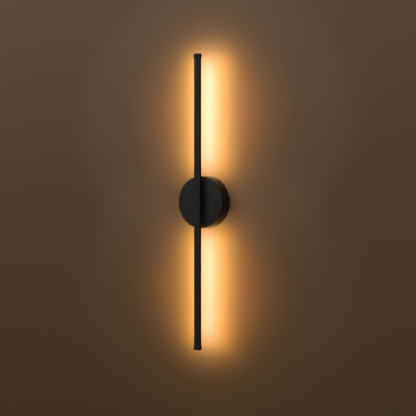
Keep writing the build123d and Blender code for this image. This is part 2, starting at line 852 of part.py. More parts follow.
with BuildPart() as disc_spring:
    spring_hole = stem_radius + 2 * part_fit
    with BuildSketch(Plane.XY):
        Polygon(
            (spring_hole, -spring_depth),
            (stem_washer_radius, -spring_depth - spring_rise),
            (stem_washer_radius, -spring_depth - spring_rise - spring_thickness),
            (spring_hole, -spring_depth - spring_thickness),
            align=None,
        )
    revolve(axis=Axis.Y)

with BuildPart() as stem_washer:
    disc(stem_washer_depth, stem_washer_thickness, stem_washer_radius, stem_radius + part_fit)

with BuildPart() as stem_nut:
    with BuildSketch(facing(nut_depth)):
        RegularPolygon(nut_across_flats / 2, 6, major_radius=False)
        Circle(stem_radius + thread_fit, mode=Mode.SUBTRACT)
    extrude(amount=nut_thickness)

# Lamp lead: a round lead through the stem, whose cores leave it by the side windows.
core_exit = foot_top + stem_window_height + core_rise
core_height = foot_top + core_radius + core_lift
core_landing = board_top + core_radius + pad_gap
core_offset = core_radius + core_gap
lamp_lead = straight_lead((0, -lead_joint, 0), (0, -(tube_axis - core_exit), 0), jacket_radius)


def core(name, across_at):
    """One core, from the end of the lamp lead through a window to its pad on the upper board."""
    route = [
        (across_at, core_exit - tube_axis, core_offset),
        (across_at, core_height - tube_axis, core_offset),
        (across_at, core_height - tube_axis, board_low - pad_lead_in),
        (across_at, core_landing - tube_axis, board_low + pad_start),
        (across_at, core_landing - tube_axis, board_low + pad_end),
    ]
    return lead(name, route, core_radius)


positive_core = core("positive_core", core_offset)
negative_core = core("negative_core", -core_offset)
with BuildPart() as positive_cores:
    add(positive_core.part)
    mirror(about=Plane.XY)
with BuildPart() as negative_cores:
    add(negative_core.part)
    mirror(about=Plane.XY)

# Files -----------------------------------------------------------------------------------
pieces = {
    "mounting_plate": mounting_plate,
    "cable_grommet": cable_grommet,
    "canopy_shell": canopy_shell,
    "canopy_screws": canopy_screws,
    "backing_plate": backing_plate,
    "stop_pin": stop_pin,
    "swivel_bush": swivel_bush,
    "thrust_washer": thrust_washer,
    "terminal_block": terminal_block,
    "terminal_barrels": terminal_barrels,
    "terminal_screws": terminal_screws,
    "block_screws": block_screws,
    "driver_case": driver_case,
    "driver_lid": driver_lid,
    "driver_board": driver_board,
    "driver_transformer": driver_transformer,
    "driver_capacitors": driver_capacitors,
    "driver_screws": driver_screws,
    "live_lead": live_lead,
    "neutral_lead": neutral_lead,
    "earth_lead": earth_lead,
    "earth_tag": earth_tag,
    "earth_screw": earth_screw,
    "output_lead": output_lead,
    "lead_plug": lead_plug,
    "lead_socket": lead_socket,
    "swivel_lead": swivel_lead,
    "tube_body": tube_body,
    "swivel_stem": swivel_stem,
    "foot_screws": foot_screws,
    "anchor_bar": anchor_bar,
    "centre_cover": centre_cover,
    "saddle": saddle,
    "upper_diffuser": upper_diffuser,
    "lower_diffuser": lower_diffuser,
    "upper_led_board": upper_led_board,
    "lower_led_board": lower_led_board,
    "upper_leds": upper_leds,
    "lower_leds": lower_leds,
    "top_cap": top_cap,
    "bottom_cap": bottom_cap,
    "cap_screws": cap_screws,
    "lamp_lead": lamp_lead,
    "positive_cores": positive_cores,
    "negative_cores": negative_cores,
    "stop_washer": stop_washer,
    "disc_spring": disc_spring,
    "stem_washer": stem_washer,
    "stem_nut": stem_nut,
}

os.makedirs("parts", exist_ok=True)
for name, piece in pieces.items():
    piece.part.label = name
    export_step(piece.part, f"parts/{name}.step")

print(f"canopy {2 * canopy_radius:.1f} across, {canopy_depth:.1f} deep")
print(f"tube axis {tube_axis:.1f} from the wall, {led_count} chips a board")
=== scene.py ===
# %% [markdown]
# # A tube wall light
#
# A slim black tube stands in front of a round canopy and turns on it. Two opal strips close
# the wall side of the tube, so the light falls on the wall and the tube itself stays dark.
# The CAD model gives every piece its size and place. This lesson loads that model as a fixed
# frame, gives each piece its finish, makes the fine pieces that a CAD model leaves out, and
# sets up a plain studio round them. Everything is in metres, in the frame of the CAD model:
# the wall is the plane Y = 0, the room lies towards -Y, and the tube is upright along Z.

# %% Load the frame
import json
import math

import bpy
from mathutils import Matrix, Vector


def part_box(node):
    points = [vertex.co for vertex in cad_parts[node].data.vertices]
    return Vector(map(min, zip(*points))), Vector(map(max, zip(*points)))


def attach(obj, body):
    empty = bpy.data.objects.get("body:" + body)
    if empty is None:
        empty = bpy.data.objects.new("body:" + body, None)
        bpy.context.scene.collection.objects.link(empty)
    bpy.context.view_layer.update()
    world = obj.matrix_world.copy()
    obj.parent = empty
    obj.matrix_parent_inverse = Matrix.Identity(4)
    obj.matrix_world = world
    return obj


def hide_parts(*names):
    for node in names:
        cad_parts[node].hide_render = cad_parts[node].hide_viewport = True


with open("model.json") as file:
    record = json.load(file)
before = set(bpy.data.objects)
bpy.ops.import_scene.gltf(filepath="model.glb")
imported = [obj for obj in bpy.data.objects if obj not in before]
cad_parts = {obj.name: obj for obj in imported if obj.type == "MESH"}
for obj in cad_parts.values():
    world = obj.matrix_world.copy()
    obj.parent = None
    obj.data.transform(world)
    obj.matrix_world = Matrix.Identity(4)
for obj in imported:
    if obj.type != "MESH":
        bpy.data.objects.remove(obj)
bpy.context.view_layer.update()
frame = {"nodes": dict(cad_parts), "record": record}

nodes = frame["nodes"]
slot_of = {part["node"]: part["material_slot"] for part in frame["record"]["subparts"]}

# %% [markdown]
# ## Sizes read from the frame
#
# A piece that is made here has to fit the piece that carries it. So its sizes start from the
# boxes of the CAD pieces and not from numbers typed a second time. A box has a lowest and a
# highest corner: its X and Z sides give a radius, and its Y side gives a depth from the wall.

# %% Sizes
mm = 0.001

shell_low, shell_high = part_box("canopy_shell")
canopy_radius = (shell_high.x - shell_low.x) / 2
canopy_depth = shell_high.y - shell_low.y

tube_low, tube_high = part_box("tube_body")
tube_radius = (tube_high.x - tube_low.x) / 2
tube_axis = -tube_low.y - tube_radius
tube_half = tube_high.z

cap_low, cap_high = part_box("top_cap")
cap_radius = (cap_high.x - cap_low.x) / 2
cap_length = cap_high.z - cap_low.z

print(f"canopy {2000 * canopy_radius:.1f} mm across and {1000 * canopy_depth:.1f} mm deep")
print(f"tube {2000 * tube_radius:.1f} mm across, its axis {1000 * tube_axis:.1f} mm from the wall")

# %% [markdown]
# ## The camera
#
# The photograph looks at the light from its right, almost level, and both sides of the tube
# stay parallel, so the lens is long. A camera is easiest to place from what it looks at: a
# point on the object, the direction back to the lens, and a distance. The lens length then
# follows from how large the object stands in the picture.

# %% Camera
azimuth = math.radians(33.13)
elevation = math.radians(1.34)
camera_distance = 2.4
picture_side = 416
focal_pixels = 1168.1
sensor = 36.0
aim_right, aim_up = -0.3 * mm, -12.4 * mm  # from the middle of the canopy, on the wall

back = Vector((
    math.sin(azimuth) * math.cos(elevation),
    -math.cos(azimuth) * math.cos(elevation),
    math.sin(elevation),
))
right = Vector((math.cos(azimuth), math.sin(azimuth), 0))
target = right * aim_right + Vector((0, 0, aim_up))

camera_data = bpy.data.cameras.new("camera")
camera_data.sensor_width = sensor
camera_data.lens = sensor * focal_pixels / picture_side
camera = bpy.data.objects.new("camera", camera_data)
camera.location = target + back * camera_distance
camera.rotation_mode = "QUATERNION"
camera.rotation_quaternion = (-back).to_track_quat("-Z", "Y")
bpy.context.scene.collection.objects.link(camera)
bpy.context.scene.camera = camera
print(f"lens {camera_data.lens:.0f} mm at {camera_distance} m")

# %% [markdown]
# ## The studio
#
# A wall light needs a wall: from this side the strips themselves can't be seen, only the light
# that they throw on the wall behind the tube. Paint, like every finish here, is a material made
# of nodes. Nodes could be added and joined one by one, but a helper that does both at once
# keeps each recipe short enough to read, so it comes first.

# %% Node helper
def add_node(tree, kind, inputs=None, **settings):
    """A node with its settings and input values, where a value may be another node's output."""
    node = tree.nodes.new(kind)
    for name, value in settings.items():
        setattr(node, name, value)
    for key, value in (inputs or {}).items():
        for source in value if isinstance(value, list) else [value]:
            if isinstance(source, bpy.types.NodeSocket):
                tree.links.new(source, node.inputs[key])
            else:
                node.inputs[key].default_value = source
    return node


def math_node(tree, operation, *values):
    """The result of one sum."""
    return add_node(tree, "ShaderNodeMath", dict(enumerate(values)), operation=operation).outputs[0]


def new_material(name):
    """An empty material, its tree and its output node."""
    material = bpy.data.materials.new(name)
    material.use_nodes = True
    material.node_tree.nodes.clear()
    output = add_node(material.node_tree, "ShaderNodeOutputMaterial")
    return material, material.node_tree, output


# %% [markdown]
# ### Wall and floor
#
# The wall is a plain sheet just behind the plate, and a pale floor lies below. Both are stage
# and not part of the object. In the photograph the wall is darker and browner towards the
# floor, where less light falls on it. That shade is painted into the wall: a fading lamp would
# do it too, but it would fade on the object as well, so the paint is mixed by height from a
# shaded tone below to a lit tone above. Seen from behind, or from below, wall and floor are
# clear, so that every side of the light can be looked at. The wall is clear too for light that
# starts right at it, on the back of the plate, or else that back would be black.

# %% Wall and floor
wall_gap = 0.4 * mm
plate_reach = 3 * wall_gap  # light that starts nearer than this passes the wall
wall_width, wall_top, floor_height, floor_side = 7.0, 2.2, -1.25, 9.0
# The wall's darker, browner tone below is painted shade, and the lighter tone above is painted
# light.
wall_shaded_low, wall_lit_high = (0.067, 0.0402, 0.0198, 1), (0.119, 0.0784, 0.0522, 1)
shade_from, shade_to = -0.45, 0.45  # the heights of these two tones
floor_colour = (0.66, 0.64, 0.61, 1)
clouds_per_metre, unevenness = 1.5, 0.03


def sheet(name, corners, material):
    """One flat face that belongs to the studio."""
    mesh = bpy.data.meshes.new(name)
    mesh.from_pydata(corners, [], [(0, 1, 2, 3)])
    mesh.materials.append(material)
    flat = bpy.data.objects.new(name, mesh)
    bpy.context.scene.collection.objects.link(flat)
    return flat


def plaster(name, shaded_low_colour, lit_high_colour):
    """Matt paint, faintly uneven, with a painted shade from one colour below to another above,
    clear from behind.
    """
    material, tree, output = new_material(name)
    place = add_node(tree, "ShaderNodeTexCoord").outputs["Object"]
    cloud = add_node(tree, "ShaderNodeTexNoise", {
        "Vector": place, "Scale": clouds_per_metre, "Detail": 3.0,
    })
    tone = add_node(tree, "ShaderNodeMapRange", {
        "Value": cloud.outputs["Fac"], "To Min": 1 - unevenness, "To Max": 1 + unevenness,
    })
    height = add_node(tree, "ShaderNodeSeparateXYZ", {"Vector": place}).outputs["Z"]
    # Painted shade: the paint is mixed darker towards the floor, where less light falls on the
    # wall.
    level = add_node(tree, "ShaderNodeMapRange", {
        "Value": height, "From Min": shade_from, "From Max": shade_to,
    })
    colour = add_node(tree, "ShaderNodeMix", {
        "Factor": level.outputs["Result"], "A": shaded_low_colour, "B": lit_high_colour,
    }, data_type="RGBA")
    tinted = add_node(tree, "ShaderNodeVectorMath", {
        0: colour.outputs["Result"], "Scale": tone.outputs["Result"],
    }, operation="SCALE")
    paint = add_node(tree, "ShaderNodeBsdfDiffuse", {"Color": tinted.outputs["Vector"]})
    from_behind = add_node(tree, "ShaderNodeNewGeometry").outputs["Backfacing"]
    reach = add_node(tree, "ShaderNodeLightPath").outputs["Ray Length"]
    from_plate = math_node(tree, "LESS_THAN", reach, plate_reach)
    open_side = math_node(tree, "MAXIMUM", from_behind, from_plate)
    clear = add_node(tree, "ShaderNodeBsdfTransparent")
    surface = add_node(tree, "ShaderNodeMixShader", {
        0: open_side, 1: paint.outputs["BSDF"], 2: clear.outputs["BSDF"],
    }).outputs[0]
    tree.links.new(surface, output.inputs["Surface"])
    return material


half = wall_width / 2
sheet("studio_wall", [
    (-half, wall_gap, floor_height), (half, wall_gap, floor_height),
    (half, wall_gap, wall_top), (-half, wall_gap, wall_top),
], plaster("wall_paint", wall_shaded_low, wall_lit_high))
half = floor_side / 2
sheet("studio_floor", [
    (-half, -half, floor_height), (half, -half, floor_height),
    (half, half, floor_height), (-half, half, floor_height),
], plaster("floor_paint", floor_colour, floor_colour))
print(f"wall {wall_width:.0f} m wide, floor {-floor_height:.2f} m below the canopy")

# %% [markdown]
# ## Studio light
#
# Large soft lamps give black paint something to mirror: a broad one from the upper left as the
# main light, a weaker one from the right, and a soft one behind for the rear views. Small lamps
# would give hard bright dots on the tube instead. The world is a plain pale grey that fills
# the shadows.

# %% Lamps and world
studio_lamps = [
    # name, place, side of the square, power
    ("main_lamp", (-1.6, -2.2, 1.5), 1.6, 42),
    ("side_lamp", (2.2, -1.4, 0.3), 1.2, 9),
    ("rear_lamp", (0.9, 2.0, 1.2), 1.4, 26),
]
for name, place, side, power in studio_lamps:
    lamp_data = bpy.data.lights.new(name, "AREA")
    lamp_data.size = side
    lamp_data.energy = power
    lamp = bpy.data.objects.new(name, lamp_data)
    lamp.location = place
    lamp.rotation_mode = "QUATERNION"
    lamp.rotation_quaternion = (-Vector(place)).to_track_quat("-Z", "Y")
    lamp.visible_camera = False
    bpy.context.scene.collection.objects.link(lamp)
    print(f"{name}: {side} m square, {power} W")

air_colour, air_strength = (0.86, 0.87, 0.88, 1), 0.5
world = bpy.data.worlds.new("studio_air")
bpy.context.scene.world = world
world.use_nodes = True
air = world.node_tree.nodes["Background"].inputs
air["Color"].default_value = air_colour
air["Strength"].default_value = air_strength
bpy.context.scene.view_settings.view_transform = "Standard"

# %% [markdown]
# ## Finishes
#
# No real surface is one flat colour. Paint has a fine skin, metal carries the marks of the
# tool, and plastic is slightly cloudy. One recipe covers most of them: slow noise moves the
# colour, finer noise moves the gloss, and the finest gives relief. The sizes are in metres on
# the object, read from Object coordinates, so that they hold from every side.

# %% The finish recipe
noise_low, noise_high = 0.3, 0.7  # nearly all values of a noise lie between these
least_roughness = 0.05


def noise(tree, vector, size, detail):
    """A noise whose lumps have a size in metres."""
    return add_node(tree, "ShaderNodeTexNoise", {
        "Vector": vector, "Scale": 1 / size, "Detail": detail,
    }).outputs["Fac"]


def spread(tree, value, low, high):
    """A noise's value, stretched between two limits."""
    return add_node(tree, "ShaderNodeMapRange", {
        "Value": value, "From Min": noise_low, "From Max": noise_high,
        "To Min": low, "To Max": high,
    }).outputs["Result"]


def finish(name, colour, roughness, metallic=0.0, tone=0.08, tone_size=12 * mm,
           grain_size=0.5 * mm, grain_depth=0.01 * mm, gloss_spread=0.06,
           stretch=(1, 1, 1), specular=0.5):
    """A material whose colour, gloss and relief all vary finely over the surface."""
    material, tree, output = new_material(name)
    place = add_node(tree, "ShaderNodeTexCoord").outputs["Object"]
    drawn = add_node(tree, "ShaderNodeMapping", {"Vector": place, "Scale": stretch})
    cloud = noise(tree, drawn.outputs["Vector"], tone_size, 4.0)
    grain = noise(tree, drawn.outputs["Vector"], grain_size, 3.0)
    base = add_node(tree, "ShaderNodeVectorMath", {
        0: colour, "Scale": spread(tree, cloud, 1 - tone, 1 + tone),
    }, operation="SCALE")
    glossiest = max(roughness - gloss_spread, least_roughness)
    dullest = min(roughness + gloss_spread, 1.0)
    relief = add_node(tree, "ShaderNodeBump", {
        "Height": grain, "Distance": grain_depth, "Strength": 1.0,
    })
    shader = add_node(tree, "ShaderNodeBsdfPrincipled", {
        "Base Color": base.outputs["Vector"],
        "Roughness": spread(tree, grain, glossiest, dullest),
        "Metallic": metallic, "Normal": relief.outputs["Normal"], "Specular IOR Level": specular,
    }, name="surface")
    tree.links.new(shader.outputs["BSDF"], output.inputs["Surface"])
    return material


# %% [markdown]
# ### Black paint
#
# The canopy is stove-enamelled: smooth and satin, with a skin only just uneven, so that it
# mirrors the tube in front of it as a soft dark band. The tube is powder coated, which leaves
# a finer, duller grain. Screws are blackened steel, with more metal in their shine.

# %% Black finishes
finishes = {
    "black_shell": finish(
        "black_shell", (0.0045, 0.0041, 0.0036), 0.46, tone=0.15, tone_size=30 * mm,
        grain_size=0.9 * mm, grain_depth=0.006 * mm, gloss_spread=0.05, specular=0.18,
    ),
    "black_tube": finish(
        "black_tube", (0.0062, 0.0055, 0.0046), 0.36, tone=0.12, tone_size=18 * mm,
        grain_size=0.35 * mm, grain_depth=0.02 * mm, gloss_spread=0.08, specular=0.22,
    ),
    "black_steel": finish(
        "black_steel", (0.028, 0.028, 0.03), 0.36, metallic=0.75, tone=0.25, tone_size=2 * mm,
        grain_size=0.15 * mm, grain_depth=0.01 * mm,
    ),
    "black_plastic": finish(
        "black_plastic", (0.018, 0.018, 0.018), 0.5, tone=0.1, tone_size=8 * mm,
        grain_size=0.3 * mm, grain_depth=0.015 * mm,
    ),
}
print(len(finishes), "black finishes")

# %% [markdown]
# ### The smoother side of the cup
#
# The cup was pressed against a polished die, which makes its side smoother than its face: the
# side mirrors the lit wall as a warm band, and the face stays dull. Two materials would meet in
# a hard line. One material that measures how far a point is from the axis changes over the
# rounded edge instead, as the real surface does.

# %% Gloss of the cup's side
side_from, side_to = canopy_radius - 0.9 * mm, canopy_radius - 0.2 * mm
side_share = 0.45  # of the face's roughness

shell = finishes["black_shell"].node_tree
place = add_node(shell, "ShaderNodeTexCoord").outputs["Object"]
flat_place = add_node(shell, "ShaderNodeVectorMath", {
    0: place, 1: (1, 0, 1),
}, operation="MULTIPLY").outputs["Vector"]
from_axis = add_node(shell, "ShaderNodeVectorMath", {0: flat_place}, operation="LENGTH")
near_side = add_node(shell, "ShaderNodeMapRange", {
    "Value": from_axis.outputs["Value"], "From Min": side_from, "From Max": side_to,
}).outputs["Result"]
face_gloss = shell.nodes["surface"].inputs["Roughness"].links[0].from_socket
side_gloss = math_node(shell, "MULTIPLY", face_gloss, side_share)
gloss = add_node(shell, "ShaderNodeMix", {
    "Factor": near_side, "A": face_gloss, "B": side_gloss,
}, data_type="FLOAT")
shell.links.new(gloss.outputs["Result"], shell.nodes["surface"].inputs["Roughness"])
print(f"the side's gloss starts {1000 * side_from:.1f} mm from the axis")

# %% [markdown]
# ### Metals, plastics and wires
#
# The rest of the light is bare metal and plain plastic, most of it inside the canopy. Zinc
# shows large soft crystals, drawn brass and spring steel carry fine lines along one way, and
# wire insulation is smooth and a little glossy. Each is one line of the same recipe.

# %% Other finishes
plain = [
    # name, colour, roughness, metallic, tone, tone size, grain size, grain depth (mm), stretch
    ("zinc_steel", (0.62, 0.63, 0.65), 0.36, 1.0, 0.16, 7.0, 0.5, 0.008, (1, 1, 1)),
    ("spring_steel", (0.42, 0.43, 0.46), 0.3, 1.0, 0.12, 4.0, 0.25, 0.006, (1, 6, 1)),
    ("tinned_copper", (0.7, 0.69, 0.66), 0.34, 1.0, 0.1, 3.0, 0.2, 0.006, (1, 1, 1)),
    ("brass", (0.72, 0.5, 0.19), 0.3, 1.0, 0.12, 3.0, 0.15, 0.008, (6, 6, 1)),
    ("natural_plastic", (0.72, 0.69, 0.6), 0.45, 0.0, 0.06, 6.0, 0.3, 0.01, (1, 1, 1)),
    ("grommet_rubber", (0.03, 0.03, 0.031), 0.68, 0.0, 0.2, 3.0, 0.25, 0.02, (1, 1, 1)),
    ("block_white", (0.76, 0.75, 0.71), 0.42, 0.0, 0.05, 9.0, 0.4, 0.012, (1, 1, 1)),
    ("driver_white", (0.74, 0.74, 0.72), 0.5, 0.0, 0.05, 10.0, 0.35, 0.02, (1, 1, 1)),
    ("board_green", (0.03, 0.16, 0.06), 0.34, 0.0, 0.35, 2.5, 0.3, 0.012, (1, 1, 1)),
    ("ferrite", (0.05, 0.048, 0.046), 0.6, 0.0, 0.25, 2.0, 0.2, 0.02, (1, 1, 1)),
    ("capacitor_can", (0.03, 0.05, 0.11), 0.32, 0.0, 0.15, 4.0, 0.3, 0.006, (1, 1, 1)),
    ("lead_brown", (0.13, 0.05, 0.022), 0.36, 0.0, 0.1, 6.0, 0.3, 0.008, (1, 1, 1)),
    ("lead_blue", (0.02, 0.1, 0.4), 0.36, 0.0, 0.1, 6.0, 0.3, 0.008, (1, 1, 1)),
    ("jacket_white", (0.75, 0.75, 0.73), 0.4, 0.0, 0.05, 6.0, 0.3, 0.008, (1, 1, 1)),
    ("connector_white", (0.77, 0.76, 0.72), 0.4, 0.0, 0.05, 5.0, 0.3, 0.01, (1, 1, 1)),
    ("core_red", (0.42, 0.025, 0.02), 0.36, 0.0, 0.1, 5.0, 0.25, 0.006, (1, 1, 1)),
    ("core_black", (0.02, 0.02, 0.02), 0.36, 0.0, 0.15, 5.0, 0.25, 0.006, (1, 1, 1)),
]
for name, colour, roughness, metallic, tone, tone_size, grain, depth, stretch in plain:
    finishes[name] = finish(
        name, colour, roughness, metallic, tone, tone_size * mm, grain * mm, depth * mm,
        stretch=stretch,
    )
print(len(finishes), "finishes")

# %% [markdown]
# ### Striped earth wire
#
# The earth lead is green and yellow in two halves round its core. The stripe follows the angle
# round the wire, but the wire bends. A band that runs aslant through space cuts each stretch
# into the two colours well enough, at a stripe of about the wire's own width.

# %% Earth wire
stripe_width, stripe_soft = 9 * mm, 0.03
yellow, green = (0.62, 0.5, 0.03, 1), (0.03, 0.2, 0.05, 1)

earth = finish("lead_green_yellow", green[:3], 0.36)
tree = earth.node_tree
place = add_node(tree, "ShaderNodeTexCoord").outputs["Object"]
bands = add_node(tree, "ShaderNodeTexWave", {
    "Vector": place, "Scale": 1 / stripe_width, "Distortion": 0.0,
}, wave_type="BANDS", bands_direction="DIAGONAL")
halves = add_node(tree, "ShaderNodeMapRange", {
    "Value": bands.outputs["Fac"], "From Min": 0.5 - stripe_soft, "From Max": 0.5 + stripe_soft,
})
colours = add_node(tree, "ShaderNodeMix", {
    "Factor": halves.outputs["Result"], "A": yellow, "B": green,
}, data_type="RGBA")
tree.links.new(colours.outputs["Result"], tree.nodes["surface"].inputs["Base Color"])
finishes["lead_green_yellow"] = earth
print(f"stripes about {1000 * stripe_width:.0f} mm apart")

# %% [markdown]
# ### Lit opal and the light-emitting boards
#
# The strips are frosted plastic. Lit from inside, they glow evenly and hide the chips. The
# glow is set near white, so that it keeps its warm colour in the picture, and the light that
# reaches the wall comes from lamps laid along the strips further down.

# %% Opal, chips and board
def lit(name, colour, glow, strength, roughness, tone_size, tone):
    """A finish that also shines, unevenly by a few percent."""
    material = finish(name, colour, roughness, tone=tone, tone_size=tone_size,
                      grain_size=0.3 * mm, grain_depth=0.006 * mm)
    tree = material.node_tree
    place = add_node(tree, "ShaderNodeTexCoord").outputs["Object"]
    level = add_node(tree, "ShaderNodeMapRange", {
        "Value": noise(tree, place, tone_size, 2.0),
        "To Min": strength * (1 - tone), "To Max": strength * (1 + tone),
    })
    shader = tree.nodes["surface"]
    shader.inputs["Emission Color"].default_value = (*glow, 1)
    tree.links.new(level.outputs["Result"], shader.inputs["Emission Strength"])
    return material


opal_glow, chip_glow = (1.0, 0.72, 0.38), (1.0, 0.7, 0.3)
finishes["opal"] = lit("opal", (0.5, 0.47, 0.42), opal_glow, 0.62, 0.4, 15 * mm, 0.04)
finishes["led_yellow"] = lit("led_yellow", (0.6, 0.42, 0.08), chip_glow, 0.9, 0.5, 2 * mm, 0.1)
finishes["board_white"] = finish(
    "board_white", (0.74, 0.74, 0.72), 0.35, tone=0.06, tone_size=5 * mm,
)
print(len(finishes), "finishes in all")

# %% [markdown]
# ## Dress the CAD pieces
#
# The CAD pieces whose shape is right stay as they are and take their finish by the slot that
# the record gives them.

# %% Assign the finishes
for name, piece in nodes.items():
    piece.data.materials.clear()
    piece.data.materials.append(finishes[slot_of[name]])
print("dressed", len(nodes), "pieces in", len(set(slot_of.values())), "finishes")

# %% [markdown]
# ## Shapes that follow a rule
#
# Most pieces of this light are made by one of two movements. A tool that turns makes the
# canopy, the end caps and the screws: one section, swept round an axis. A die that is drawn
# through makes the tube and the strips: one section, swept along a line. Both could be made
# with modifiers or vertex by vertex. Geometry Nodes are chosen because the rule stays visible:
# a section and a few named sizes go in, and a closed solid comes out.
#
# A section is a flat curve. Each of its points carries the radius of its own corner, in the
# curve's point radius, so that one node can round every corner by the right amount.

# %% Sections
def section(name, *loops, closed=True):
    """A flat outline in millimetres: loops of (x, y) or (x, y, corner radius)."""
    curve = bpy.data.curves.new(name, "CURVE")
    curve.dimensions = "3D"
    for loop in loops:
        spline = curve.splines.new("POLY")
        spline.points.add(len(loop) - 1)
        for point, (x, y, *corner) in zip(spline.points, loop):
            point.co = (x * mm, y * mm, 0, 1)
            point.radius = corner[0] * mm if corner else 0
        spline.use_cyclic_u = closed
    outline = bpy.data.objects.new(name, curve)
    bpy.context.scene.collection.objects.link(outline)
    return outline


arc_step = 4  # degrees from one point of an arc to the next
on_axis = 1e-6


def arc(radius, start, end, centre=0.0, corners=0.0):
    """Points on a circle about (0, centre), angles in degrees from +y towards +x."""
    steps = max(2, round(abs(end - start) / arc_step))
    angles = [math.radians(start + (end - start) * i / steps) for i in range(steps + 1)]
    points = [(radius * math.sin(angle), centre + radius * math.cos(angle)) for angle in angles]
    return [
        (x, y, corners if i in (0, steps) and abs(x) > on_axis else 0.0)
        for i, (x, y) in enumerate(points)
    ]


# %% [markdown]
# ### The tree for drawing
#
# Drawing fills the outline, extrudes the filled face and closes the solid with a turned-over
# copy of it. Both kinds of tree start with the same steps: the section comes in from an object,
# its corners are rounded, and at the end doubled points become one, which closes the solid.

# %% Tree helpers
def new_tree(name, **inputs):
    """A geometry tree with an input for each name and kind, and one geometry output."""
    tree = bpy.data.node_groups.new(name, "GeometryNodeTree")
    for label, kind in inputs.items():
        tree.interface.new_socket(
            label.replace("_", " "), in_out="INPUT", socket_type=f"NodeSocket{kind}",
        )
    tree.interface.new_socket("Geometry", in_out="OUTPUT", socket_type="NodeSocketGeometry")
    given = add_node(tree, "NodeGroupInput").outputs
    return tree, given, add_node(tree, "NodeGroupOutput").inputs["Geometry"]


corner_points = 5


def rounded_outline(tree, outline):
    """The section from an object, its corners rounded by their own radii."""
    curve = add_node(tree, "GeometryNodeObjectInfo", {"Object": outline}).outputs["Geometry"]
    radius = add_node(tree, "GeometryNodeInputRadius").outputs["Radius"]
    return add_node(tree, "GeometryNodeFilletCurve", {
        "Curve": curve, "Count": corner_points, "Radius": radius, "Limit Radius": True,
    }, mode="POLY").outputs["Curve"]


merge_distance = 0.002 * mm


def merged(tree, geometry):
    """The same solid with its doubled points made one."""
    return add_node(tree, "GeometryNodeMergeByDistance", {
        "Geometry": geometry, "Distance": merge_distance,
    }).outputs["Geometry"]


# %% Drawn solid
draw_tree, given, result = new_tree("drawn_solid", Section="Object", Length="Float")
face = add_node(draw_tree, "GeometryNodeFillCurve", {
    "Curve": rounded_outline(draw_tree, given["Section"]),
}, mode="TRIANGLES").outputs["Mesh"]
far_end = add_node(draw_tree, "GeometryNodeExtrudeMesh", {
    "Mesh": face, "Offset": (0, 0, 1), "Offset Scale": given["Length"], "Individual": False,
}).outputs["Mesh"]
near_end = add_node(draw_tree, "GeometryNodeFlipFaces", {"Mesh": face}).outputs["Mesh"]
drawn = add_node(draw_tree, "GeometryNodeJoinGeometry", {"Geometry": [far_end, near_end]})
draw_tree.links.new(merged(draw_tree, drawn.outputs["Geometry"]), result)
print(draw_tree.name, "has", len(draw_tree.nodes), "nodes")

# %% [markdown]
# ### The tree for turning
#
# A turned piece could be made by spinning the section in steps. Here the outline is first swept
# along a straight line, and then the sheet is wrapped round the axis by moving each point,
# which leaves one seam to be merged. This way the tool can cut a thread while it wraps: the cut
# depends on the height and the angle together, so that it climbs one pitch in each turn.

# %% Turned solid
turn_tree, given, result = new_tree(
    "turned_solid", Section="Object", Steps="Int", Pitch="Float", Cut="Float", Thread_Top="Float",
)
line = add_node(turn_tree, "GeometryNodeCurvePrimitiveLine", {"Start": (0, 0, 0), "End": (0, 0, 1)})
line = add_node(turn_tree, "GeometryNodeResampleCurve", {
    "Curve": line.outputs["Curve"], "Count": math_node(turn_tree, "ADD", given["Steps"], 1),
})
unwound = add_node(turn_tree, "GeometryNodeCurveToMesh", {
    "Curve": line.outputs["Curve"], "Profile Curve": rounded_outline(turn_tree, given["Section"]),
}).outputs["Mesh"]
place = add_node(turn_tree, "GeometryNodeInputPosition").outputs["Position"]
radius, height, share = add_node(turn_tree, "ShaderNodeSeparateXYZ", {"Vector": place}).outputs
turns = math_node(turn_tree, "ADD", math_node(turn_tree, "DIVIDE", height, given["Pitch"]), share)
groove = math_node(turn_tree, "PINGPONG", math_node(turn_tree, "MULTIPLY", turns, 2), 1)
threaded = math_node(turn_tree, "LESS_THAN", height, given["Thread Top"])
groove = math_node(turn_tree, "MULTIPLY", groove, threaded)
depth = math_node(turn_tree, "MULTIPLY", groove, given["Cut"])
radius = math_node(turn_tree, "MAXIMUM", math_node(turn_tree, "SUBTRACT", radius, depth), 0)
angle = math_node(turn_tree, "MULTIPLY", share, -math.tau)
wrapped = add_node(turn_tree, "ShaderNodeCombineXYZ", {
    "X": math_node(turn_tree, "MULTIPLY", radius, math_node(turn_tree, "COSINE", angle)),
    "Y": math_node(turn_tree, "MULTIPLY", radius, math_node(turn_tree, "SINE", angle)),
    "Z": height,
}).outputs["Vector"]
wound = add_node(turn_tree, "GeometryNodeSetPosition", {
    "Geometry": unwound, "Position": wrapped,
}).outputs["Geometry"]
turn_tree.links.new(merged(turn_tree, wound), result)
print(turn_tree.name, "has", len(turn_tree.nodes), "nodes")

# %% [markdown]
# ### Holes, and points that say where things go
#
# A tree's own geometry is a handful of loose points, each with a direction called aim. A hole
# is a turned solid of its own, set on each point, turned to its aim and taken away. Screws are
# set on their points in the same way, so one line of places is enough for either.

# %% Tools for points and holes
def group(tree, inner, **inputs):
    """Another tree's geometry, used as a node."""
    node = add_node(tree, "GeometryNodeGroup", node_tree=inner)
    for label, value in inputs.items():
        key = label.replace("_", " ")
        if isinstance(value, bpy.types.NodeSocket):
            tree.links.new(value, node.inputs[key])
        else:
            node.inputs[key].default_value = value
    return node.outputs["Geometry"]


def set_on_points(tree, points, shape):
    """A copy of a shape on each point, turned from +z to the point's aim, as plain mesh."""
    aim = add_node(tree, "GeometryNodeInputNamedAttribute", {
        "Name": "aim",
    }, data_type="FLOAT_VECTOR").outputs["Attribute"]
    turned = add_node(tree, "FunctionNodeAlignRotationToVector", {"Vector": aim}, axis="Z")
    copies = add_node(tree, "GeometryNodeInstanceOnPoints", {
        "Points": points, "Instance": shape, "Rotation": turned.outputs["Rotation"],
    }).outputs["Instances"]
    return add_node(tree, "GeometryNodeRealizeInstances", {"Geometry": copies}).outputs["Geometry"]


